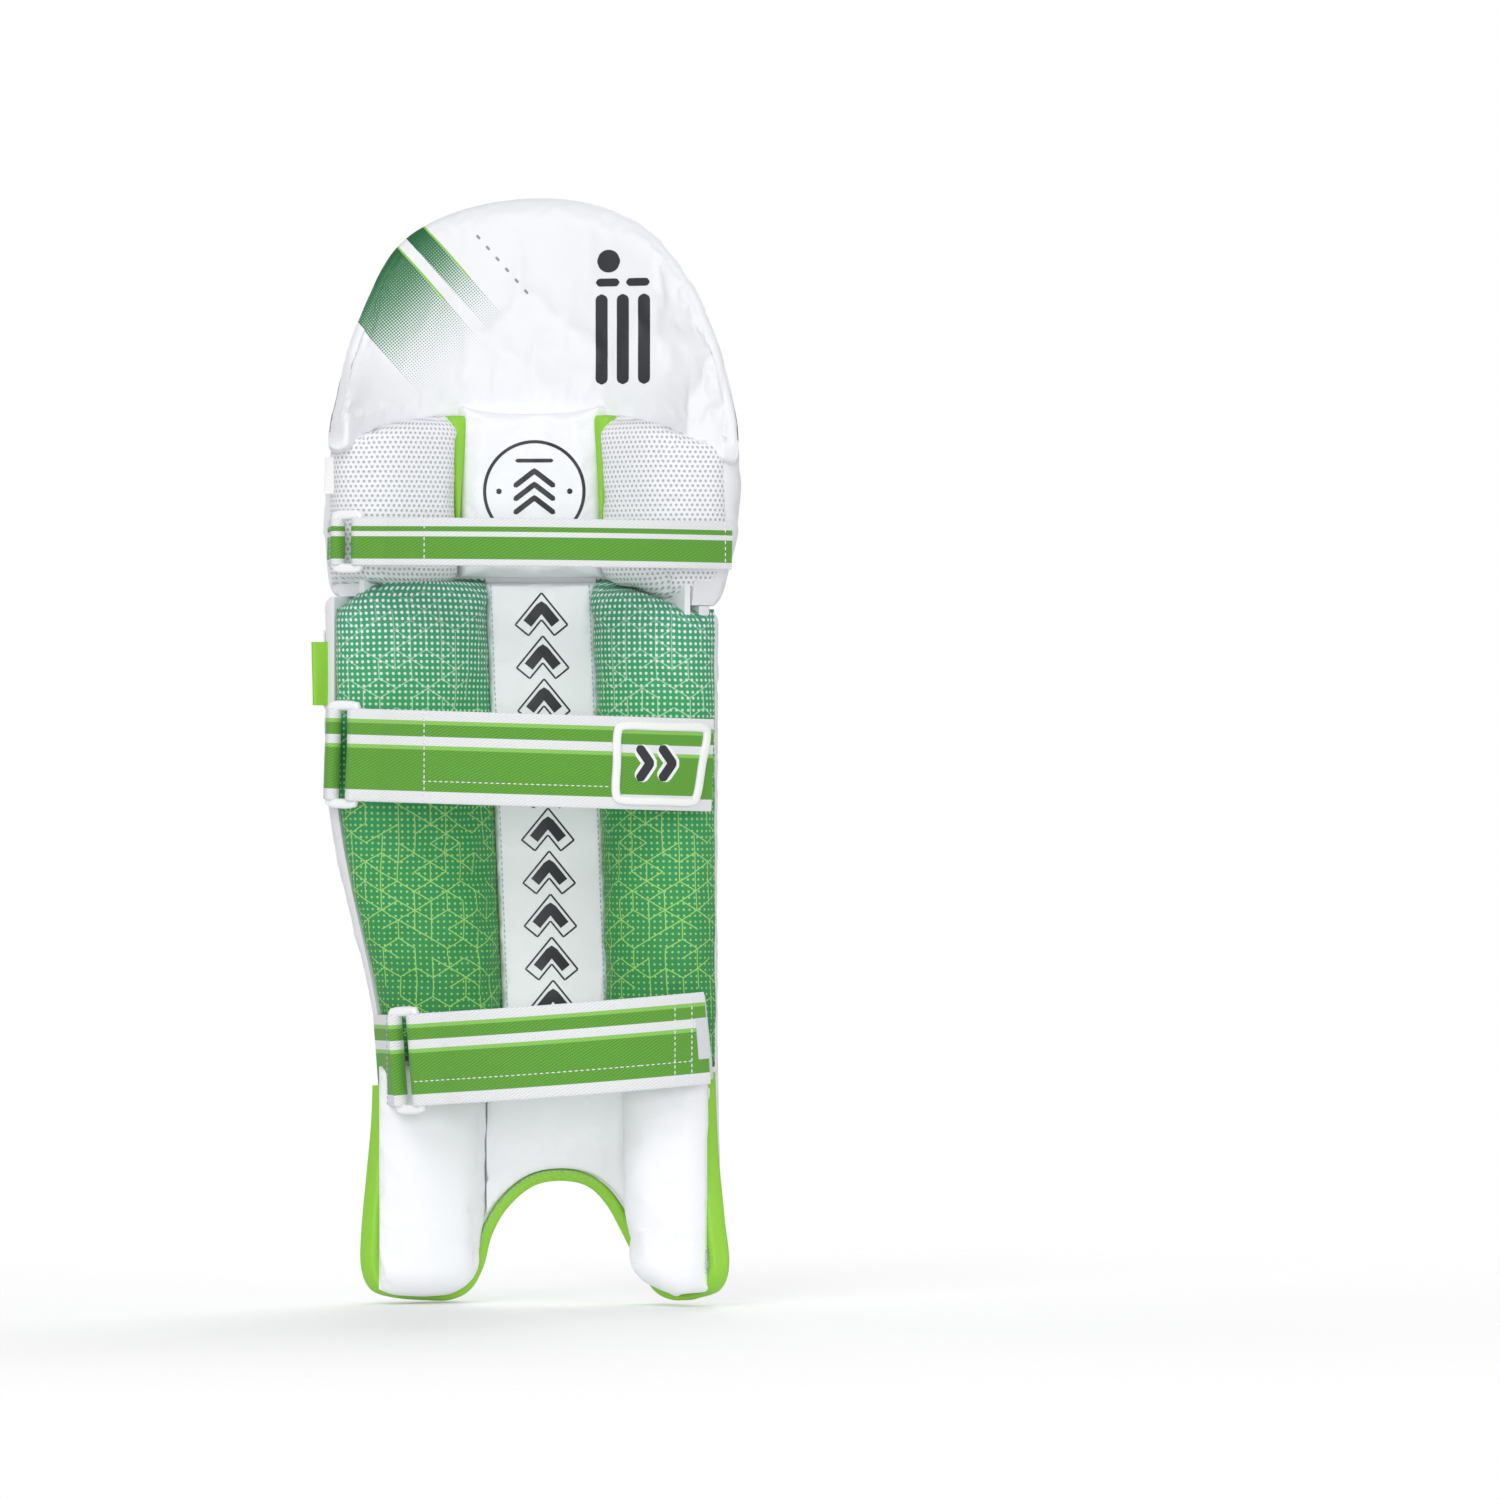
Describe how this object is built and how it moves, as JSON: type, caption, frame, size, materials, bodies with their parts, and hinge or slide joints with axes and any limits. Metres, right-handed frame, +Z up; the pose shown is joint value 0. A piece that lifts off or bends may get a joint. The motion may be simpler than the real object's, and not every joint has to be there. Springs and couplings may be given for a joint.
{
  "type": "cricket leg pad",
  "caption": "Upright padded batting leg guard with cane-filled front channels, a sprung top flap over the knee, rear bolsters, an arched foot cut-out and hook-and-loop straps on loops.",
  "frame": {"origin": "on the wearer's leg axis, level with the lowest edge of the two feet", "axes": "+Z up along the leg; -Y out of the striking face, so +Y is the strap side; +X to the wearer's left, which is the outer side with the calf wing and the strap loops"},
  "size_m": [0.2691, 0.1557, 0.7002],
  "materials": {
    "white_pu": "smooth satin coated cloth",
    "foam_board": "closed-cell foam",
    "cane": "raw cane",
    "white_cloth": "matt brushed lining",
    "spacer_mesh": "open spacer mesh",
    "printed_cloth": "dot and line print",
    "lime_tape": "stitched edge tape",
    "striped_webbing": "twill woven stripes",
    "moulded_plastic": "satin",
    "hook_tape": "hooked",
    "loop_tape": "looped pile",
    "moulded_rubber": "moulded, matt"
  },
  "bodies": {
    "leg_shell": {"shin_roll_1": "white_pu", "shin_roll_2": "white_pu", "shin_roll_3": "white_pu", "shin_roll_4": "white_pu", "shin_roll_5": "white_pu", "shin_roll_6": "white_pu", "shin_roll_7": "white_pu", "knee_roll_upper": "white_pu", "knee_roll_middle": "white_pu", "knee_roll_lower": "white_pu", "knee_wing_inner": "white_pu", "knee_wing_outer": "white_pu", "instep_panel": "white_pu", "outer_wing": "white_pu", "shin_face_cover": "white_pu", "core_board": "foam_board", "shin_canes": "cane", "rear_lining": "white_cloth", "instep_lining": "white_cloth", "foot_bolster_inner": "white_cloth", "foot_bolster_outer": "white_cloth", "knee_locator_panel": "white_cloth", "centre_strip": "white_cloth", "knee_cushion_inner": "spacer_mesh", "knee_cushion_outer": "spacer_mesh", "wing_mesh_panel": "spacer_mesh", "bolster_inner": "printed_cloth", "bolster_outer": "printed_cloth", "instep_binding": "lime_tape", "knee_piping": "lime_tape", "side_tab": "lime_tape", "strap_anchor_tabs": "striped_webbing", "loop_patches": "loop_tape"},
    "top_hat": {"top_hat_roll_1": "white_pu", "top_hat_roll_2": "white_pu", "top_hat_roll_3": "white_pu", "top_hat_roll_4": "white_pu", "top_hat_roll_5": "white_pu", "top_hat_roll_6": "white_pu", "top_hat_side_inner": "white_pu", "top_hat_side_outer": "white_pu", "top_hat_face_cover": "white_pu", "top_hat_back_panel": "white_pu", "top_hat_core": "foam_board", "top_hat_canes": "cane"},
    "knee_loop_link": {"knee_loop": "moulded_plastic"},
    "knee_strap_band": {"knee_strap": "striped_webbing"},
    "knee_strap_end": {"knee_strap_tip": "striped_webbing", "knee_hook_patch": "hook_tape"},
    "calf_loop_link": {"calf_loop": "moulded_plastic"},
    "calf_strap_band": {"calf_strap": "striped_webbing"},
    "calf_strap_end": {"calf_strap_tip": "striped_webbing", "calf_hook_patch": "hook_tape", "calf_badge": "moulded_rubber"},
    "ankle_loop_link": {"ankle_loop": "moulded_plastic"},
    "ankle_strap_band": {"ankle_strap": "striped_webbing"},
    "ankle_strap_end": {"ankle_strap_tip": "striped_webbing", "ankle_hook_patch": "hook_tape"}
  },
  "joints": [
    {"name": "knee_flex", "type": "hinge", "parent": "leg_shell", "child": "top_hat", "pos_m": [0, -0.05, 0.564], "axis": [-1, 0, 0], "range_deg": [0, 15], "stiffness_Nm_per_rad": 5},
    {"name": "knee_loop_pivot", "type": "hinge", "parent": "leg_shell", "child": "knee_loop_link", "pos_m": [0.11303, 0.00551, 0.48008], "axis": [0.0105, 0, -0.9999], "range_deg": [0, 40]},
    {"name": "knee_strap_swing", "type": "hinge", "parent": "knee_loop_link", "child": "knee_strap_band", "pos_m": [0.09811, 0.01466, 0.47992], "axis": [0.0105, 0, -0.9999], "range_deg": [0, 100]},
    {"name": "knee_tip_peel", "type": "hinge", "parent": "knee_strap_band", "child": "knee_strap_end", "pos_m": [-0.09891, 0.02336, 0.47786], "axis": [0.0105, 0, -0.9999], "range_deg": [0, 80]},
    {"name": "calf_loop_pivot", "type": "hinge", "parent": "leg_shell", "child": "calf_loop_link", "pos_m": [0.11601, 0.00554, 0.34672], "axis": [0.0297, 0, -0.9996], "range_deg": [0, 40]},
    {"name": "calf_strap_swing", "type": "hinge", "parent": "calf_loop_link", "child": "calf_strap_band", "pos_m": [0.10115, 0.01478, 0.34628], "axis": [0.0297, 0, -0.9996], "range_deg": [0, 100]},
    {"name": "calf_tip_peel", "type": "hinge", "parent": "calf_strap_band", "child": "calf_strap_end", "pos_m": [-0.0585, 0.0359, 0.34154], "axis": [0.0297, 0, -0.9996], "range_deg": [0, 80]},
    {"name": "ankle_loop_pivot", "type": "hinge", "parent": "leg_shell", "child": "ankle_loop_link", "pos_m": [0.07552, -0.00277, 0.15399], "axis": [-0.075, 0, -0.9972], "range_deg": [0, 40]},
    {"name": "ankle_strap_swing", "type": "hinge", "parent": "ankle_loop_link", "child": "ankle_strap_band", "pos_m": [0.06185, 0.00811, 0.15501], "axis": [-0.075, 0, -0.9972], "range_deg": [0, 100]},
    {"name": "ankle_tip_peel", "type": "hinge", "parent": "ankle_strap_band", "child": "ankle_strap_end", "pos_m": [-0.0783, 0.02885, 0.16555], "axis": [-0.075, 0, -0.9972], "range_deg": [0, 80]}
  ]
}
